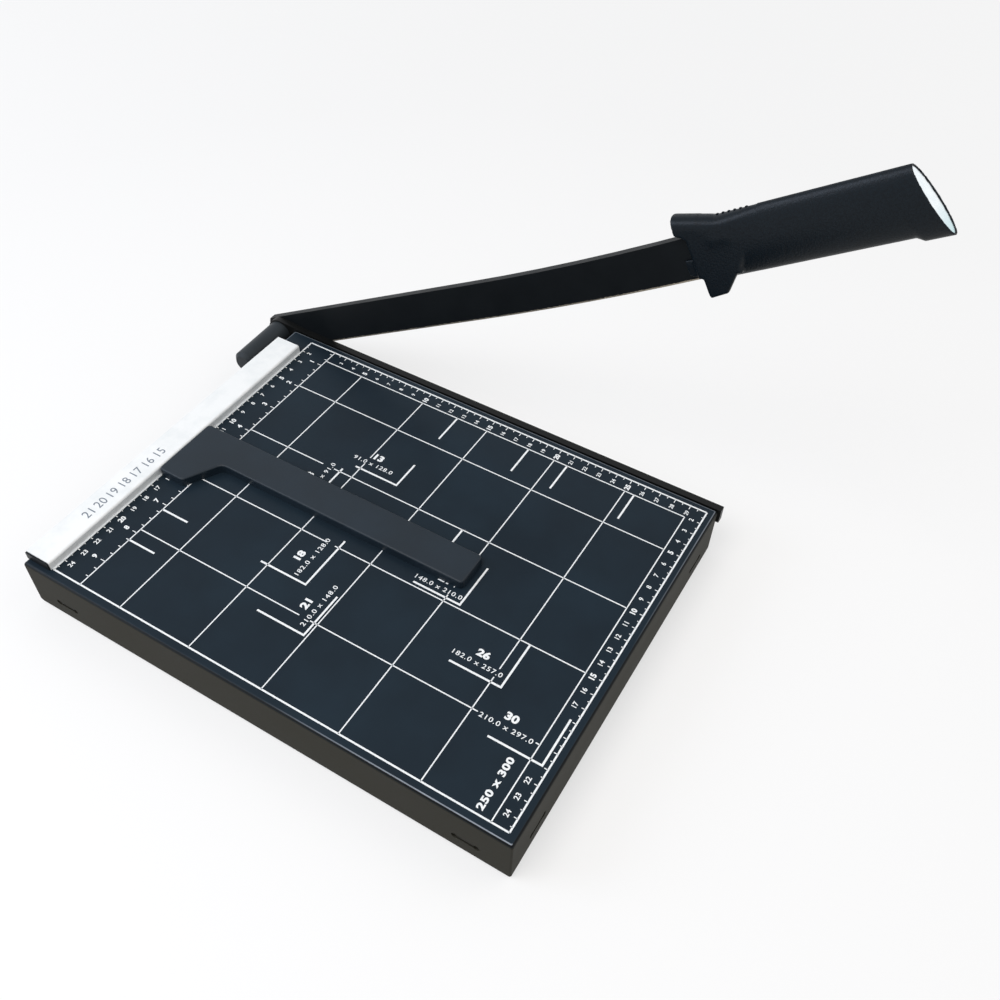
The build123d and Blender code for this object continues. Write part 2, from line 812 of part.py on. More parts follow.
def corner_block(wall_x, wall_y, into_x, into_y):
    """Block in the corner of two inner wall faces; into_x and into_y point into the tray."""
    foot_x = wall_x + into_x * block_size / 2
    foot_y = wall_y + into_y * block_size / 2
    tab_x = wall_x + into_x * (slot_from_corner - sheet)
    tab_y = wall_y + into_y * (slot_from_corner - sheet)
    leg_height = block_top_z - foot_lift
    with BuildPart() as block:
        with Locations((foot_x, foot_y, foot_lift)):
            Box(block_size, block_size, block_plate, align=RISE)
        with Locations((foot_x, wall_y + into_y * block_leg / 2, foot_lift)):
            Box(block_size, block_leg, leg_height, align=RISE)
        with Locations((wall_x + into_x * block_leg / 2, foot_y, foot_lift)):
            Box(block_leg, block_size, leg_height, align=RISE)
        with Locations((tab_x, wall_y, slot_z)):
            Box(tab_length, 2 * tab_reach, tab_height)
        with Locations((wall_x, tab_y, slot_z)):
            Box(2 * tab_reach, tab_length, tab_height)
        with Locations((foot_x, foot_y, foot_lift)):
            Cylinder(foot_radius + moulding_fit, foot_seat, align=RISE, mode=Mode.SUBTRACT)
            Cylinder(
                foot_stem_radius + moulding_fit, 2 * block_plate, align=RISE, mode=Mode.SUBTRACT
            )
        outer_edge = block.edges().filter_by(Axis.Z).sort_by_distance((wall_x, wall_y, slot_z))[0]
        chamfer(outer_edge, length=sheet)
    with BuildPart() as foot:
        with Locations((foot_x, foot_y, 0)):
            Cylinder(foot_radius, foot_lift + foot_seat, align=RISE)
            chamfer(foot.edges().group_by(Axis.Z)[0], length=foot_edge)
            Cylinder(foot_stem_radius, plate_top_z, align=RISE)
    return block, foot


inner_left_x = tray_left_x + sheet
inner_right_x = tray_right_x - sheet
inner_near_y = tray_near_y + sheet
inner_far_y = tray_far_y - sheet
corners = {
    "near_left": (inner_left_x, inner_near_y, 1, 1),
    "near_right": (inner_right_x, inner_near_y, -1, 1),
    "far_left": (inner_left_x, inner_far_y, 1, -1),
    "far_right": (inner_right_x, inner_far_y, -1, -1),
}
for corner, place in corners.items():
    block, foot = corner_block(*place)
    save(block, f"corner_block_{corner}")
    save(foot, f"rubber_foot_{corner}")
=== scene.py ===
"""Guillotine paper cutter: finishes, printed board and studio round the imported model."""
import math

import bmesh
import bpy
from mathutils import Matrix, Quaternion, Vector


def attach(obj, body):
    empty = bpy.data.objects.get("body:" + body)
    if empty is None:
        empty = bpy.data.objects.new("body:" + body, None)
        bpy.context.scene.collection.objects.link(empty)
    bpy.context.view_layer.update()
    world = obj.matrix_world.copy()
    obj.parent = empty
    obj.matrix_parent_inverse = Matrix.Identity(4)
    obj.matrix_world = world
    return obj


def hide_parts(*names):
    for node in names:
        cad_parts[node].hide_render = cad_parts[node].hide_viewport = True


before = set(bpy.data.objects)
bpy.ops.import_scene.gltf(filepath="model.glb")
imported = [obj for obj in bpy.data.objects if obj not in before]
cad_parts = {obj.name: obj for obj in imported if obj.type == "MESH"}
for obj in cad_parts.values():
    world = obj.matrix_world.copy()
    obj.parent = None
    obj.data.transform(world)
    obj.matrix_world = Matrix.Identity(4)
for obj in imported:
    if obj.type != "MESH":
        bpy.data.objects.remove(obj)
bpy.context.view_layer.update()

MM = 0.001

# ---- Places on the cutter, in millimetres ----------------------------------------------------

BOARD_ORIGIN = Vector((-163.5, 122.5))   # zero of the printed scales, in the part's frame
BOARD_TOP = 37.0
TRAY_NEAR = -131.5                       # outer face of the near wall
INK = 0.06                               # thickness of the printed ink
INK_SINK = 0.02                          # how far it reaches into the paint
PIVOT = Vector((-197.5, 125.05, 28.8))
ARM_ANGLE = math.radians(30)
ARM_BOTTOM = -15.3                       # lower edge of the arm, across from the pivot
ARM_BEND_START = 186.0
ARM_BEND_RADIUS = 2450.0
RULE_TOP = 43.0
RULE_MIDDLE = -10.4                      # middle of the rule, on the printed scales


# ---- Small tools -----------------------------------------------------------------------------

def linear(code):
    """Linear colour, with alpha, of an sRGB hex code."""
    channels = [int(code[i:i + 2], 16) / 255 for i in (0, 2, 4)]
    return [c / 12.92 if c <= 0.04045 else ((c + 0.055) / 1.055) ** 2.4 for c in channels] + [1]


def add(tree, kind, inputs=None, **settings):
    """Adds a node. An input is a value, or (node, output name) for a link."""
    made = tree.nodes.new("ShaderNode" + kind)
    for name, value in settings.items():
        setattr(made, name, value)
    for name, value in (inputs or {}).items():
        socket = made.inputs[name]
        if isinstance(value, tuple) and isinstance(value[0], bpy.types.Node):
            tree.links.new(value[0].outputs[value[1]], socket)
        else:
            socket.default_value = value
    return made


def blank_material(name):
    """Material without nodes, and its tree."""
    material = bpy.data.materials.new(name)
    material.use_nodes = True
    material.node_tree.nodes.clear()
    return material, material.node_tree


def new_material(name):
    """Material and its tree, with a Principled BSDF on the output."""
    material, tree = blank_material(name)
    shader = add(tree, "BsdfPrincipled")
    add(tree, "OutputMaterial", {"Surface": (shader, "BSDF")})
    return material, tree, shader


def link(tree, source, output, shader, socket):
    """Joins a node's output to a socket of the shader."""
    tree.links.new(source.outputs[output], shader.inputs[socket])


def ramp(tree, source, output, low, high, dark, light):
    """Number that goes from dark to light as the source goes from low to high."""
    return add(tree, "MapRange", {
        "Value": (source, output), "From Min": low, "From Max": high,
        "To Min": dark, "To Max": light})


def band(tree, source, output, rise, fall):
    """1 between two edges and 0 outside; an edge is where its blend starts and where it ends."""
    up = ramp(tree, source, output, *rise, 0, 1)
    down = ramp(tree, source, output, *fall, 1, 0)
    return add(tree, "Math", {0: (up, "Result"), 1: (down, "Result")}, operation="MULTIPLY")


def under_top(*depths):
    """Heights in metres of places some millimetres under the board's top."""
    return [(BOARD_TOP - depth) * MM for depth in depths]


def blend_colours(tree, factor, output, first, second):
    """Colour between two hex codes, by a factor from 0 to 1."""
    return add(tree, "Mix", {
        0: (factor, output), 6: linear(first), 7: linear(second)}, data_type="RGBA")


def bump(tree, shader, height, output, depth):
    """Surface relief of a depth in metres from a height between 0 and 1."""
    relief = add(tree, "Bump", {"Height": (height, output), "Distance": depth, "Strength": 1.0})
    link(tree, relief, "Normal", shader, "Normal")


def shine(shader, level):
    """How strongly a painted or moulded surface mirrors, where 0.5 is plain gloss."""
    shader.inputs["Specular IOR Level"].default_value = level


# ---- Finishes --------------------------------------------------------------------------------

def painted_sheet():
    """Baked black enamel on folded sheet steel: a faint orange peel of about 2 mm, handling
    smudges of 4 or 5 cm that dull the gloss, and duller walls. Its colour holds painted light:
    a bluish reflection on the top, a lighter brownish reflection on the walls, painted shade on
    the bends and a painted highlight line just above them."""
    material, tree, shader = new_material("baked_black_enamel")
    place = add(tree, "TexCoord")
    axes = add(tree, "SeparateXYZ", {"Vector": (place, "Object")})
    smudge = add(tree, "TexNoise", {
        "Vector": (place, "Object"), "Scale": 22, "Detail": 3, "Roughness": 0.55})
    clouds = ramp(tree, smudge, "Fac", 0.35, 0.7, 0, 1)
    # Painted reflection: the top is coloured bluish for the sky it mirrors and the walls lighter
    # and brownish for the table they mirror; both are the same black enamel
    top = blend_colours(tree, clouds, "Result", "17222b", "1b2832")
    wall = blend_colours(tree, clouds, "Result", "27261f", "2d2c25")
    on_top = ramp(tree, axes, "Z", *under_top(1.3, 0.9), 0, 1)
    paint = add(tree, "Mix", {
        0: (on_top, "Result"), 6: (wall, 2), 7: (top, 2)}, data_type="RGBA")
    # Painted shade on the bends, darkening from left to right
    across = ramp(tree, axes, "X", -170 * MM, 110 * MM, 0, 1)
    shade = blend_colours(tree, across, "Result", "1b1f23", "080a0c")
    bend = band(tree, axes, "Z", under_top(1.0, 0.85), under_top(0.25, 0.15))
    paint = add(tree, "Mix", {
        0: (bend, "Value"), 6: (paint, 2), 7: (shade, 2)}, data_type="RGBA")
    # Painted highlight: a pale line just above the bends, strongest at the near right corner and
    # at the far end of the sides
    at_near = ramp(tree, axes, "Y", (TRAY_NEAR + 1.6) * MM, (TRAY_NEAR + 2.4) * MM, 1, 0)
    near_highlight_reach = ramp(tree, axes, "X", -10 * MM, 90 * MM, 0, 0.8)
    side_highlight_reach = ramp(tree, axes, "Y", 0, 110 * MM, 0, 0.5)
    wear = add(tree, "Mix", {
        0: (at_near, "Result"), 2: (side_highlight_reach, "Result"), 3: (near_highlight_reach, "Result")},
        data_type="FLOAT")
    line = band(tree, axes, "Z", under_top(0.25, 0.15), under_top(0.03, 0.01))
    highlight_breakup = add(tree, "TexNoise", {
        "Vector": (place, "Object"), "Scale": 14, "Detail": 5, "Roughness": 0.7})
    patchy = ramp(tree, highlight_breakup, "Fac", 0.42, 0.62, 0.6, 1)
    # rubbed is the strength of the painted highlight line, broken up by noise
    rubbed = add(tree, "Math", {0: (line, "Value"), 1: (patchy, "Result")},
                 operation="MULTIPLY")
    rubbed = add(tree, "Math", {0: (rubbed, "Value"), 1: (wear, "Result")},
                 operation="MULTIPLY")
    # Pale colour of the painted highlight line
    paint = add(tree, "Mix", {
        0: (rubbed, "Value"), 6: (paint, 2), 7: linear("aab2bd")}, data_type="RGBA")
    link(tree, paint, 2, shader, "Base Color")
    sheen = ramp(tree, clouds, "Result", 0, 1, 0, 0.06)
    dull = ramp(tree, on_top, "Result", 0, 1, 0.6, 0.38)
    gloss = add(tree, "Math", {0: (sheen, "Result"), 1: (dull, "Result")}, operation="ADD")
    link(tree, gloss, "Value", shader, "Roughness")
    shine(shader, 0.12)
    peel = add(tree, "TexNoise", {
        "Vector": (place, "Object"), "Scale": 480, "Detail": 2, "Roughness": 0.5})
    bump(tree, shader, peel, "Fac", 0.00003)
    return material


def screen_ink():
    """Screen-printed white ink: matt, slightly uneven where the screen left it thin. The
    screen's threads are about 0.1 mm apart; its marks are drawn at 1 mm, so that they show."""
    material, tree, shader = new_material("screen_printed_white_ink")
    place = add(tree, "TexCoord")
    mesh_marks = add(tree, "TexNoise", {
        "Vector": (place, "Object"), "Scale": 900, "Detail": 2})
    thin = ramp(tree, mesh_marks, "Fac", 0.3, 0.7, 0, 1)
    colour = blend_colours(tree, thin, "Result", "e6ebee", "fbfcfc")
    link(tree, colour, 2, shader, "Base Color")
    shader.inputs["Roughness"].default_value = 0.6
    return material


def white_strip():
    """White enamel on the rule's folded strip: smooth and glossy, with a trace of grime in
    patches of 1 or 2 cm."""
    material, tree, shader = new_material("white_enamelled_steel")
    place = add(tree, "TexCoord")
    grime = add(tree, "TexNoise", {
        "Vector": (place, "Object"), "Scale": 60, "Detail": 4, "Roughness": 0.6})
    patches = ramp(tree, grime, "Fac", 0.45, 0.75, 0, 1)
    colour = blend_colours(tree, patches, "Result", "f4f6f6", "e6eaeb")
    link(tree, colour, 2, shader, "Base Color")
    gloss = ramp(tree, patches, "Result", 0, 1, 0.3, 0.5)
    link(tree, gloss, "Result", shader, "Roughness")
    return material


def guide_plastic():
    """Moulded ABS, satin black: the fine even texture of a spark-eroded mould, rubbed smoother
    by handling in patches of about 3 cm. The texture's pits are about 0.1 mm wide; they are
    drawn at 0.7 mm, so that they show."""
    material, tree, shader = new_material("satin_black_abs")
    place = add(tree, "TexCoord")
    rubbed = add(tree, "TexNoise", {
        "Vector": (place, "Object"), "Scale": 30, "Detail": 3, "Roughness": 0.6})
    patches = ramp(tree, rubbed, "Fac", 0.35, 0.7, 0, 1)
    colour = blend_colours(tree, patches, "Result", "141f28", "19252f")
    link(tree, colour, 2, shader, "Base Color")
    gloss = ramp(tree, patches, "Result", 0, 1, 0.4, 0.5)
    link(tree, gloss, "Result", shader, "Roughness")
    shine(shader, 0.3)
    grain = add(tree, "TexNoise", {
        "Vector": (place, "Object"), "Scale": 1400, "Detail": 3, "Roughness": 0.6})
    bump(tree, shader, grain, "Fac", 0.00004)
    return material


def handle_plastic():
    """Moulded ABS with a leather grain: rounded pebbles about 1 mm across, dull in the grooves
    and shinier on the crowns where hands polish them."""
    material, tree, shader = new_material("leather_grained_black_abs")
    place = add(tree, "TexCoord")
    warp = add(tree, "TexNoise", {
        "Vector": (place, "Object"), "Scale": 500, "Detail": 2})
    bent = add(tree, "Mix", {
        0: 0.0008, 4: (place, "Object"), 5: (warp, "Color")}, data_type="VECTOR")
    pebbles = add(tree, "TexVoronoi", {
        "Vector": (bent, 1), "Scale": 900, "Smoothness": 0.4}, feature="SMOOTH_F1")
    crowns = ramp(tree, pebbles, "Distance", 0.15, 0.75, 1, 0)
    colour = blend_colours(tree, crowns, "Result", "070f16", "0c171f")
    link(tree, colour, 2, shader, "Base Color")
    gloss = ramp(tree, crowns, "Result", 0, 1, 0.36, 0.26)
    link(tree, gloss, "Result", shader, "Roughness")
    shine(shader, 0.17)
    bump(tree, shader, crowns, "Result", 0.00003)
    return material


def arm_steel():
    """Painted blade steel: black enamel on the bar, dusty in patches of 2 or 3 cm, and worn
    through to ground steel in a thin, slightly ragged band along the lower edge. The grinding's
    grit is finer than 0.1 mm; its blotches are drawn at 1.5 mm, so that they show."""
    material, tree, shader = new_material("black_enamel_over_ground_steel")
    place = add(tree, "TexCoord")
    arm = add(tree, "Mapping", {
        "Vector": (place, "Object"), "Location": PIVOT * MM, "Rotation": (0, -ARM_ANGLE, 0)},
        vector_type="TEXTURE")
    axes = add(tree, "SeparateXYZ", {"Vector": (arm, "Vector")})
    past = add(tree, "Math", {
        0: (axes, "X"), 1: ARM_BEND_START * MM}, operation="SUBTRACT")
    past = add(tree, "Math", {0: (past, "Value"), 1: 0.0}, operation="MAXIMUM")
    bow = add(tree, "Math", {0: (past, "Value"), 1: (past, "Value")}, operation="MULTIPLY")
    bow = add(tree, "Math", {
        0: (bow, "Value"), 1: 2 * ARM_BEND_RADIUS * MM}, operation="DIVIDE")
    height = add(tree, "Math", {0: (axes, "Z"), 1: (bow, "Value")}, operation="SUBTRACT")
    wear = add(tree, "TexNoise", {
        "Vector": (place, "Object"), "Scale": 350, "Detail": 4, "Roughness": 0.6})
    ragged = ramp(tree, wear, "Fac", 0.3, 0.7, -0.25 * MM, 0.25 * MM)
    height = add(tree, "Math", {0: (height, "Value"), 1: (ragged, "Result")}, operation="ADD")
    bare = ramp(tree, height, "Value",
                (ARM_BOTTOM + 0.75) * MM, (ARM_BOTTOM + 0.95) * MM, 1, 0)
    dust = add(tree, "TexNoise", {
        "Vector": (place, "Object"), "Scale": 40, "Detail": 3, "Roughness": 0.6})
    paint = blend_colours(tree, dust, "Fac", "0e1114", "14181b")
    steel = add(tree, "TexNoise", {
        "Vector": (arm, "Vector"), "Scale": 700, "Detail": 2})
    metal = blend_colours(tree, steel, "Fac", "a59a8a", "c9bfae")
    colour = add(tree, "Mix", {
        0: (bare, "Result"), 6: (paint, 2), 7: (metal, 2)}, data_type="RGBA")
    link(tree, colour, 2, shader, "Base Color")
    link(tree, bare, "Result", shader, "Metallic")
    gloss = ramp(tree, dust, "Fac", 0.3, 0.7, 0.38, 0.5)
    link(tree, gloss, "Result", shader, "Roughness")
    shine(shader, 0.1)
    peel = add(tree, "TexNoise", {
        "Vector": (place, "Object"), "Scale": 600, "Detail": 2})
    bump(tree, shader, peel, "Fac", 0.00003)
    return material


def dark_satin(name, dark, light):
    """Dark satin surface in two close colours, for the pieces that share it: enamel or blacking
    on solid steel, moulded polypropylene and dried ink. Dust dulls it in patches of about 2 cm,
    over a peel of about 1.5 mm that is fainter than the sheet's."""
    material, tree, shader = new_material(name)
    place = add(tree, "TexCoord")
    dust = add(tree, "TexNoise", {
        "Vector": (place, "Object"), "Scale": 45, "Detail": 3, "Roughness": 0.6})
    colour = blend_colours(tree, dust, "Fac", dark, light)
    link(tree, colour, 2, shader, "Base Color")
    gloss = ramp(tree, dust, "Fac", 0.3, 0.7, 0.36, 0.48)
    link(tree, gloss, "Result", shader, "Roughness")
    shine(shader, 0.15)
    peel = add(tree, "TexNoise", {
        "Vector": (place, "Object"), "Scale": 700, "Detail": 2})
    bump(tree, shader, peel, "Fac", 0.00002)
    return material


def plated_steel():
    """Zinc-plated steel: pale, faintly mottled where the plating's crystals differ. They are
    finer than 0.1 mm; they are drawn at 0.6 mm, so that they show."""
    material, tree, shader = new_material("zinc_plated_steel")
    place = add(tree, "TexCoord")
    crystals = add(tree, "TexVoronoi", {"Vector": (place, "Object"), "Scale": 1600})
    colour = blend_colours(tree, crystals, "Distance", "b9bcc0", "8e9296")
    link(tree, colour, 2, shader, "Base Color")
    shader.inputs["Metallic"].default_value = 1.0
    gloss = ramp(tree, crystals, "Distance", 0, 1, 0.28, 0.45)
    link(tree, gloss, "Result", shader, "Roughness")
    return material


def cap_plastic():
    """Chromed ABS plate: pale and cool, with a satin veil that changes every 4 mm or so, and a
    painted bluish reflection on the lower half."""
    material, tree, shader = new_material("satin_chromed_abs")
    place = add(tree, "TexCoord")
    veil = add(tree, "TexNoise", {
        "Vector": (place, "Object"), "Scale": 260, "Detail": 4, "Roughness": 0.65})
    plate = blend_colours(tree, veil, "Fac", "eef6f8", "fbfdfd")
    axes = add(tree, "SeparateXYZ", {"Vector": (place, "Object")})
    # Painted reflection: pale teal towards the lower end of the plate
    end = ramp(tree, axes, "Z", 253 * MM, 265 * MM, 1, 0)
    colour = add(tree, "Mix", {
        0: (end, "Result"), 6: (plate, 2), 7: linear("c2dfe0")}, data_type="RGBA")
    link(tree, colour, 2, shader, "Base Color")
    shader.inputs["Metallic"].default_value = 1.0
    gloss = ramp(tree, veil, "Fac", 0.3, 0.7, 0.18, 0.34)
    link(tree, gloss, "Result", shader, "Roughness")
    return material


def foot_rubber():
    """Moulded natural rubber: soot black and matt, chalky where it has bloomed in spots of
    4 or 5 mm."""
    material, tree, shader = new_material("moulded_black_rubber")
    place = add(tree, "TexCoord")
    bloom = add(tree, "TexNoise", {
        "Vector": (place, "Object"), "Scale": 220, "Detail": 4, "Roughness": 0.6})
    colour = blend_colours(tree, bloom, "Fac", "121212", "242424")
    link(tree, colour, 2, shader, "Base Color")
    shader.inputs["Roughness"].default_value = 0.85
    bump(tree, shader, bloom, "Fac", 0.00008)
    return material


FINISHES = {
    "base_tray": painted_sheet(),
    "bed_knife": dark_satin("black_enamelled_bar", "0e0f0f", "151616"),
    "spring_sleeve": dark_satin("black_enamelled_tube", "272c30", "31363a"),
    "pivot_bolt": dark_satin("blackened_bolt_steel", "101214", "1b1e20"),
    "pivot_head_washer": dark_satin("blackened_washer_steel", "101214", "1b1e20"),
    "cutting_arm": arm_steel(),
    "paper_rule": dark_satin("black_rule_core", "0e1114", "181c20"),
    "rule_cover": white_strip(),
    "paper_guide": guide_plastic(),
    "handle_end_cap": cap_plastic(),
}
grained_plastic = handle_plastic()
plating = plated_steel()
rubber = foot_rubber()
block_plastic = dark_satin("moulded_black_polypropylene", "050506", "0c0d0e")
for name in ("handle_near_half", "handle_far_half"):
    FINISHES[name] = grained_plastic
for name in ("bed_knife_screws", "bed_knife_nuts", "handle_screws", "rule_screws", "pivot_nut",
             "pivot_spring", "pivot_spring_washer", "pivot_thrust_washer", "guide_magnets"):
    FINISHES[name] = plating
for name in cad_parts:
    if name.startswith("rubber_foot"):
        FINISHES[name] = rubber
    if name.startswith("corner_block"):
        FINISHES[name] = block_plastic

for name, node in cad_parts.items():
    node.data.materials.clear()
    node.data.materials.append(FINISHES[name])


# ---- Printed board ---------------------------------------------------------------------------

FRAME_LINE = 1.0                         # widths of the printed lines
GRID_LINE = 0.7
TICK_LINE = 0.5
MARK_LINE = 1.2
BOARD_LEFT, BAND_LEFT, BAND_RIGHT, BOARD_RIGHT = -0.9, 19.7, 290.4, 300.7
BOARD_FAR, BAND_FAR, BOARD_NEAR = 9.7, 20.1, 248.0
LEFT_FIGURES, INCH_FIGURES, RIGHT_FIGURES = 4.8, 11.6, 294.7
FAR_FIGURES = 16.4                       # row of the scale along the cut
SIDE_MARK, FAR_MARK = 19.6, 22.6         # lengths of the short marks from the two bands
INCH = 25.4


def board_point(x, y):
    """Point of the part's frame, in metres, at x along the cut and y in from it on the print."""
    return Vector((BOARD_ORIGIN.x + x, BOARD_ORIGIN.y - y, BOARD_TOP)) * MM


def bar(ink, x_start, y_start, x_end, y_end):
    """One printed line, a thin block from corner to corner."""
    middle = board_point((x_start + x_end) / 2, (y_start + y_end) / 2)
    middle.z += (INK - INK_SINK) / 2 * MM
    size = Vector((abs(x_end - x_start), abs(y_end - y_start), INK + INK_SINK)) * MM
    shape = Matrix.Translation(middle) @ Matrix.Diagonal((*size, 1))
    bmesh.ops.create_cube(ink, size=1, matrix=shape)


def line_across(ink, y, x_start, x_end, width, gaps=()):
    """Line along the cut at depth y, broken where labels stand."""
    at = x_start
    for gap_start, gap_end in [*gaps, (x_end, x_end)]:
        bar(ink, at, y - width / 2, gap_start, y + width / 2)
        at = gap_end


def line_down(ink, x, y_start, y_end, width, gaps=()):
    """Line away from the cut at x, broken where labels stand."""
    at = y_start
    for gap_start, gap_end in [*gaps, (y_end, y_end)]:
        bar(ink, x - width / 2, at, x + width / 2, gap_start)
        at = gap_end


def number(ink, text, height, x, y, turned, weight=0.0, width=1.0, spread=1.0, lift=0.0):
    """Printed figures, centred on a point; turned ones read away from the operator. The weight
    thickens their strokes, the width widens them, the spread parts them, and the lift is how
    far over the board they stand."""
    curve = bpy.data.curves.new("figures", "FONT")
    curve.body = text
    curve.size = 1
    curve.resolution_u = 3
    curve.offset = weight
    curve.space_character = spread
    curve.extrude = 0.5
    letters = bpy.data.objects.new("figures", curve)
    mesh = bpy.data.meshes.new_from_object(letters)
    low = Vector([min(v.co[i] for v in mesh.vertices) for i in range(3)])
    high = Vector([max(v.co[i] for v in mesh.vertices) for i in range(3)])
    scale = height * MM / (high.y - low.y)
    thick = (INK + INK_SINK) * MM
    centre = board_point(x, y)
    centre.z += (lift + (INK - INK_SINK) / 2) * MM
    place = (Matrix.Translation(centre)
             @ Matrix.Rotation(math.radians(90 if turned else 0), 4, "Z")
             @ Matrix.Diagonal((scale * width, scale, thick / (high.z - low.z), 1))
             @ Matrix.Translation(-(low + high) / 2))
    mesh.transform(place)
    ink.from_mesh(mesh)
    bpy.data.objects.remove(letters)
    bpy.data.curves.remove(curve)
    bpy.data.meshes.remove(mesh)


def finish_piece(name, shape, body, material):
    """Turns a bmesh into a named piece that rides on a body."""
    mesh = bpy.data.meshes.new(name)
    shape.to_mesh(mesh)
    shape.free()
    mesh.materials.append(material)
    piece = bpy.data.objects.new(name, mesh)
    bpy.context.scene.collection.objects.link(piece)
    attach(piece, body)
    return piece


ink_material = screen_ink()

# Frame and grid
grid = bmesh.new()
line_across(grid, BOARD_FAR, BOARD_LEFT, BOARD_RIGHT, FRAME_LINE)
line_across(grid, BOARD_NEAR, BOARD_LEFT, BOARD_RIGHT, FRAME_LINE)
line_down(grid, BOARD_LEFT, BOARD_FAR, BOARD_NEAR, FRAME_LINE)
line_down(grid, BOARD_RIGHT, BOARD_FAR, BOARD_NEAR, FRAME_LINE)
line_down(grid, BAND_LEFT, BOARD_FAR, BOARD_NEAR, GRID_LINE)
line_down(grid, BAND_RIGHT, BAND_FAR, BOARD_NEAR, GRID_LINE)
line_across(grid, BAND_FAR, BAND_LEFT, BAND_RIGHT, GRID_LINE)
for x, gaps in ((50, ()), (100, [(80.2, 85.8)]), (150, ()), (200, [(138.8, 145)]),
                (250, [(172, 177.8)])):
    line_down(grid, x, BAND_FAR, BOARD_NEAR, GRID_LINE, gaps)
for y, gaps in ((50, ()), (100, [(78, 86.5)]), (150, [(118.8, 124.6)]),
                (200, [(137.5, 145), (253.6, 288)])):
    line_across(grid, y, BAND_LEFT, BAND_RIGHT, GRID_LINE, gaps)
finish_piece("board_grid", grid, "base", ink_material)

# Centimetre and inch scales
scales = bmesh.new()
for half_cm in range(3, 50):
    length = 1.4 if half_cm % 2 else 2.2
    y = half_cm * 5
    bar(scales, BOARD_LEFT, y - TICK_LINE / 2, BOARD_LEFT + length, y + TICK_LINE / 2)
    bar(scales, BOARD_RIGHT - length, y - TICK_LINE / 2, BOARD_RIGHT, y + TICK_LINE / 2)
for half_cm in range(5, 60):
    length = 2.0 if half_cm % 2 else 3.0
    x = half_cm * 5
    bar(scales, x - TICK_LINE / 2, BOARD_FAR, x + TICK_LINE / 2, BOARD_FAR + length)
for quarter in range(2, 39):
    length = 2.2 if quarter % 4 else 3.4
    y = quarter * INCH / 4
    bar(scales, BAND_LEFT - length, y - TICK_LINE / 2, BAND_LEFT, y + TICK_LINE / 2)
for cm in range(3, 30):
    bold = cm % 5 == 0
    height, weight = (3.5, 0.045) if bold else (2.7, 0.02)
    number(scales, str(cm), height, cm * 10, FAR_FIGURES, True, weight)
for cm in range(2, 25):
    bold = cm % 5 == 0
    height, weight = (3.6, 0.045) if bold else (3.0, 0.02)
    number(scales, str(cm), height, LEFT_FIGURES, cm * 10, True, weight)
    if not 18 <= cm <= 21:               # there the largest corner mark takes their place
        number(scales, str(cm), height, RIGHT_FIGURES, cm * 10, True, weight)
for inch in range(1, 10):
    number(scales, str(inch), 3.6, INCH_FIGURES, inch * INCH, True, 0.04)
finish_piece("board_scales", scales, "base", ink_material)

# Corner marks for the common sheet sizes, with their sizes in plain numbers
marks = bmesh.new()
for x, y, across, down in ((128, 91.5, 31.5, 21), (91.5, 128, 32, 31), (128, 182, 33, 38),
                           (182, 128, 32, 28), (210, 148, 32, 31), (148.5, 210, 33, 31),
                           (257, 182, 33, 31.5), (297.6, 210, 32.5, 31)):
    bar(marks, x - across, y - MARK_LINE, x, y)
    bar(marks, x - MARK_LINE, y - down, x, y - MARK_LINE)
for x in (128, 182, 210, 257):
    bar(marks, x - MARK_LINE, BAND_FAR, x, BAND_FAR + FAR_MARK)
for y in (182, 210):
    bar(marks, BAND_LEFT, y - MARK_LINE, BAND_LEFT + SIDE_MARK, y)
for big, small, x, y, turned in (
        ("13", "91.0 x 128.0", 105, 77.4, False), ("13", "128.0 x 91.0", 76.7, 113, True),
        ("18", "182.0 x 128.0", 111.4, 166, True), ("21", "210.0 x 148.0", 136.0, 192, True),
        ("21", "148.0 x 210.0", 192.5, 136.4, False),
        ("26", "182.0 x 257.0", 238, 168.4, False), ("30", "210.0 x 297.0", 270.8, 194, False)):
    number(marks, big, 5.0, x, y, turned, 0.045, 1.25)
    small_x, small_y = (x + 7.0, y - 3) if turned else (x, y + 6.6)
    number(marks, small, 3.0, small_x, small_y, turned, 0.008, 1.2, 1.15)
number(marks, "250 x 300", 4.3, 282, 229.5, True, 0.04, 1.3, 1.1)
finish_piece("board_size_marks", marks, "base", ink_material)

# Plain centimetres on the white rule, worn grey
rule_ink = dark_satin("worn_grey_printing_ink", "6d7580", "858e99")
rule_numbers = bmesh.new()
for cm in range(15, 22):
    number(rule_numbers, str(cm), 6.0, RULE_MIDDLE, cm * 10, True, 0.0, 0.9, 1.05,
           RULE_TOP - BOARD_TOP)
finish_piece("rule_numbers", rule_numbers, "base", rule_ink)


# ---- Handle moulding -------------------------------------------------------------------------

GRIP_START = 352.0                       # where the grip begins, along the arm
GRIP_RISE = 4.4                          # its middle there, across the arm
GRIP_TILT = math.radians(3.1)
GRIP_HALF_HEIGHT = 17.1
GRIP_HALF_WIDTH = 6.0
COLLAR_FLOW = 26.0                       # length over which the collar's width runs out
FLOW_START = 6.0                         # how far behind the collar that begins
FLOW_TOP = 16.5                          # height over the grip's middle up to which it goes
SKIN = 0.6                               # what lies this near the oval is its surface
CORE = 0.8                               # what lies this near the parting plane is left alone
PART_LINE = 125.05                       # parting plane between the handle's two halves
OVERLAP = 0.05                           # how far each half reaches into the other for one shell
FACET = 0.45                             # size of the moulding's facets
RIM = 0.3                                # width of the strip drawn in along the parting line
RIM_INSET = 0.2
RIB_COUNT = 6                            # ribs over the grip's back edge
RIB_RADIUS = 0.4
RIB_SINK = 0.2
RIB_FIRST = 7.0                          # place of the first, behind the collar
RIB_PITCH = 3.2
RIB_POINTS = 12                          # points of a rib, and the turns between them
RIB_START = math.radians(-2)
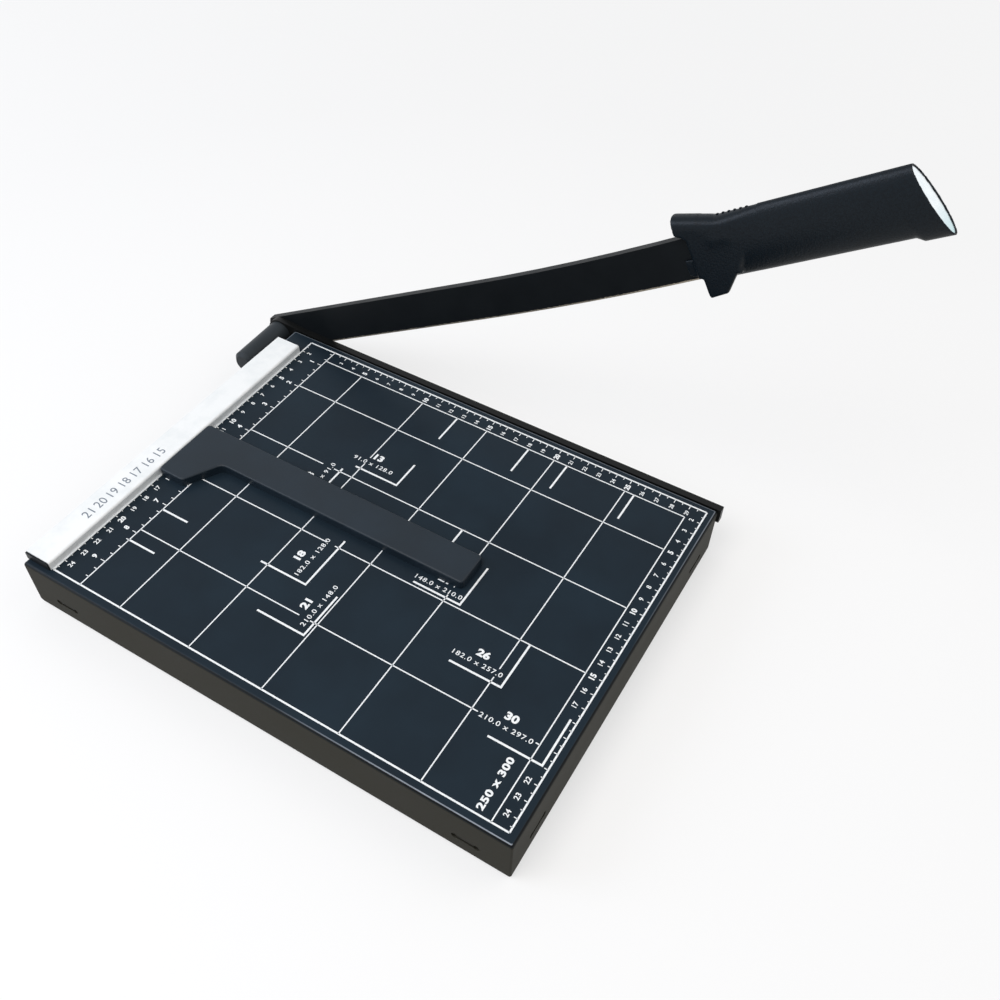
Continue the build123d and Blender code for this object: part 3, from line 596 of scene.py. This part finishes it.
RIB_STEP = math.radians(6)


def arm_axes(point):
    """Distance along the arm and height across it, in millimetres, of a point in metres."""
    x = point.x / MM - PIVOT.x
    z = point.z / MM - PIVOT.z
    cosine, sine = math.cos(ARM_ANGLE), math.sin(ARM_ANGLE)
    return x * cosine + z * sine, z * cosine - x * sine


def even_facets(shape):
    """Closed shell of even facets round everything in a bmesh."""
    mesh = bpy.data.meshes.new("moulding")
    shape.to_mesh(mesh)
    shape.free()
    draft = bpy.data.objects.new("moulding", mesh)
    bpy.context.scene.collection.objects.link(draft)
    remesh = draft.modifiers.new("facets", "REMESH")
    remesh.mode = "VOXEL"
    remesh.voxel_size = FACET * MM
    seen = draft.evaluated_get(bpy.context.evaluated_depsgraph_get())
    shell = bmesh.new()
    shell.from_mesh(seen.to_mesh())
    seen.to_mesh_clear()
    bpy.data.objects.remove(draft)
    bpy.data.meshes.remove(mesh)
    return shell


def soften(shell, passes, start, end, lowest):
    """Rounds a shell between two places along the arm, above a height across it."""
    verts = []
    for vert in shell.verts:
        s, n = arm_axes(vert.co)
        if start < s < end and n > lowest:
            verts.append(vert)
    for _ in range(passes):
        bmesh.ops.smooth_vert(shell, verts=verts, factor=0.5,
                              use_axis_x=True, use_axis_y=True, use_axis_z=True)


halves = bmesh.new()
for node, shift in (("handle_near_half", OVERLAP), ("handle_far_half", -OVERLAP)):
    half = bmesh.new()
    half.from_mesh(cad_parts[node].data)
    bmesh.ops.remove_doubles(half, verts=half.verts, dist=1e-6)
    bmesh.ops.translate(half, verts=half.verts, vec=(0, shift * MM, 0))
    joined = bpy.data.meshes.new("half")
    half.to_mesh(joined)
    half.free()
    halves.from_mesh(joined)
    bpy.data.meshes.remove(joined)
moulding = even_facets(halves)

# Behind the collar the oval grip starts as wide as the collar's flat sides
for vert in moulding.verts:
    s, n = arm_axes(vert.co)
    height = n - GRIP_RISE - (s - GRIP_START) * math.tan(GRIP_TILT)
    aside = vert.co.y / MM - PIVOT.y
    if not (s > GRIP_START and 0 < height < FLOW_TOP and abs(aside) > CORE):
        continue
    oval = GRIP_HALF_WIDTH * math.sqrt(1 - (height / GRIP_HALF_HEIGHT) ** 2)
    if abs(abs(aside) - oval) > SKIN:
        continue
    shoulder = max(height - GRIP_HALF_HEIGHT + GRIP_HALF_WIDTH, 0)
    full = math.sqrt(max(GRIP_HALF_WIDTH ** 2 - shoulder ** 2, 0))
    near_collar = min(max(1 - (s - GRIP_START - FLOW_START) / COLLAR_FLOW, 0), 1)
    share = near_collar ** 2 * (3 - 2 * near_collar)
    vert.co.y += math.copysign((full - oval) * share, aside) * MM

# The oblique end stays sharp, and the upper part behind the collar is rounded most
ANYWHERE = -1000.0
for passes, start, end, lowest in (
        (2, ANYWHERE, 440.0, ANYWHERE), (6, 337.0, 372.0, ANYWHERE),
        (14, ANYWHERE, 372.0, 19.0), (50, 348.0, 380.0, 3.0)):
    soften(moulding, passes, start, end, lowest)

for node, side in (("handle_near_half", -1), ("handle_far_half", 1)):
    half = moulding.copy()
    for distance in (RIM * side, 0):
        bmesh.ops.bisect_plane(
            half, geom=half.verts[:] + half.edges[:] + half.faces[:], dist=1e-7,
            plane_co=(0, (PART_LINE + distance) * MM, 0), plane_no=(0, side, 0),
            clear_inner=distance == 0)
    half.normal_update()
    rim = [e for e in half.edges if e.is_boundary]
    for vert in {v for e in rim for v in e.verts}:
        inwards = Vector((vert.normal.x, 0, vert.normal.z)).normalized()
        vert.co -= inwards * RIM_INSET * MM
    bmesh.ops.triangle_fill(half, edges=rim, use_beauty=True)
    bmesh.ops.recalc_face_normals(half, faces=half.faces)
    for face in half.faces:
        face.smooth = True
    piece = finish_piece(node.replace("half", "moulding"), half, "arm",
                         grained_plastic)
    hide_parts(node)
moulding.free()


def grip_point(distance, turn, sink):
    """Point on the oval grip, in metres: along it, round from its top to the far side."""
    height = (GRIP_HALF_HEIGHT - sink) * math.cos(turn)
    s = GRIP_START + distance * math.cos(GRIP_TILT) - height * math.sin(GRIP_TILT)
    n = GRIP_RISE + distance * math.sin(GRIP_TILT) + height * math.cos(GRIP_TILT)
    cosine, sine = math.cos(ARM_ANGLE), math.sin(ARM_ANGLE)
    y = PIVOT.y + (GRIP_HALF_WIDTH - sink) * math.sin(turn)
    return Vector((PIVOT.x + s * cosine - n * sine, y, PIVOT.z + s * sine + n * cosine)) * MM


ribs = bmesh.new()
for i in range(RIB_COUNT):
    curve = bpy.data.curves.new("rib", "CURVE")
    curve.dimensions = "3D"
    curve.bevel_depth = RIB_RADIUS * MM
    curve.bevel_resolution = 3
    curve.use_fill_caps = True
    spline = curve.splines.new("POLY")
    spline.points.add(RIB_POINTS - 1)
    for j, point in enumerate(spline.points):
        place = grip_point(RIB_FIRST + RIB_PITCH * i, RIB_START + RIB_STEP * j, RIB_SINK)
        point.co = (*place, 1)
    strand = bpy.data.objects.new("rib", curve)
    mesh = bpy.data.meshes.new_from_object(strand)
    ribs.from_mesh(mesh)
    bpy.data.objects.remove(strand)
    bpy.data.curves.remove(curve)
    bpy.data.meshes.remove(mesh)
for face in ribs.faces:
    face.smooth = True
finish_piece("grip_ribs", ribs, "arm", grained_plastic)


# ---- Studio ----------------------------------------------------------------------------------

FLOOR_REACH = 6.0                        # metres from the middle to each side


def seen_rays(tree):
    """1 where the camera looks, straight or by way of a shiny or clear surface, otherwise 0."""
    path = add(tree, "LightPath")
    straight = add(tree, "Math", {0: (path, "Is Camera Ray"), 1: (path, "Is Glossy Ray")},
                   operation="MAXIMUM")
    return add(tree, "Math", {0: (straight, "Value"), 1: (path, "Is Transmission Ray")},
               operation="MAXIMUM")


# White paper. Its glow grows with distance, so that low views show no horizon.
floor_material, tree = blank_material("white_paper_floor")
shown = seen_rays(tree)
paper = add(tree, "BsdfDiffuse", {"Color": linear("b4aa9c")})
lit = add(tree, "BsdfDiffuse", {"Color": linear("a6a6a6")})
place = add(tree, "TexCoord")
away = add(tree, "VectorMath", {0: (place, "Object")}, operation="LENGTH")
lift = ramp(tree, away, "Value", 0.6, 2.5, 0.59, 0.77)
glow = add(tree, "Emission", {"Color": linear("ffffff"), "Strength": (lift, "Result")})
pale = add(tree, "AddShader", {0: (lit, "BSDF"), 1: (glow, "Emission")})
both = add(tree, "MixShader", {0: (shown, "Value"), 1: (paper, "BSDF"), 2: (pale, "Shader")})
add(tree, "OutputMaterial", {"Surface": (both, "Shader")})

ground = bmesh.new()
bmesh.ops.create_grid(ground, x_segments=1, y_segments=1, size=FLOOR_REACH)
floor_mesh = bpy.data.meshes.new("floor")
ground.to_mesh(floor_mesh)
ground.free()
floor_mesh.materials.append(floor_material)
floor = bpy.data.objects.new("floor", floor_mesh)
bpy.context.scene.collection.objects.link(floor)

world = bpy.data.worlds.new("studio")
bpy.context.scene.world = world
world.use_nodes = True
tree = world.node_tree
tree.nodes.clear()
shown = seen_rays(tree)
strength = ramp(tree, shown, "Value", 0, 1, 0.5, 1.0)
sky = add(tree, "Background", {"Color": linear("fafcff"), "Strength": (strength, "Result")})
add(tree, "OutputWorld", {"Surface": (sky, "Background")})


def soft_box(name, at, aim, size, power, colour):
    """Square area lamp at a point, turned towards another."""
    lamp = bpy.data.lights.new(name, "AREA")
    lamp.shape = "SQUARE"
    lamp.size = size
    lamp.energy = power
    lamp.color = linear(colour)[:3]
    light = bpy.data.objects.new(name, lamp)
    light.location = at
    light.rotation_euler = (Vector(aim) - Vector(at)).to_track_quat("-Z", "Y").to_euler()
    bpy.context.scene.collection.objects.link(light)


soft_box("key", (-0.2, -0.65, 1.4), (0, 0, 0.05), 0.8, 10.5, "fffbf6")
soft_box("fill", (0.9, 0.6, 1.1), (0, 0, 0.05), 1.0, 3.0, "fff6ea")
soft_box("window", (-1.15, -0.75, 0.85), (0.1, 0.1, 0.15), 0.8, 8.0, "dfeaff")

camera_data = bpy.data.cameras.new("camera")
camera_data.lens = 37.21
camera_data.sensor_width = 36
camera_data.clip_start = 0.01
camera_data.clip_end = 50
camera = bpy.data.objects.new("camera", camera_data)
camera.location = (0.23179, -0.31486, 0.50761)
look = Vector((-0.3271, 0.584, -0.743))
turn = look.to_track_quat("-Z", "Y") @ Quaternion((0, 0, 1), math.radians(2.0))
camera.rotation_euler = turn.to_euler()
bpy.context.scene.collection.objects.link(camera)
bpy.context.scene.camera = camera
bpy.context.scene.view_settings.view_transform = "Standard"
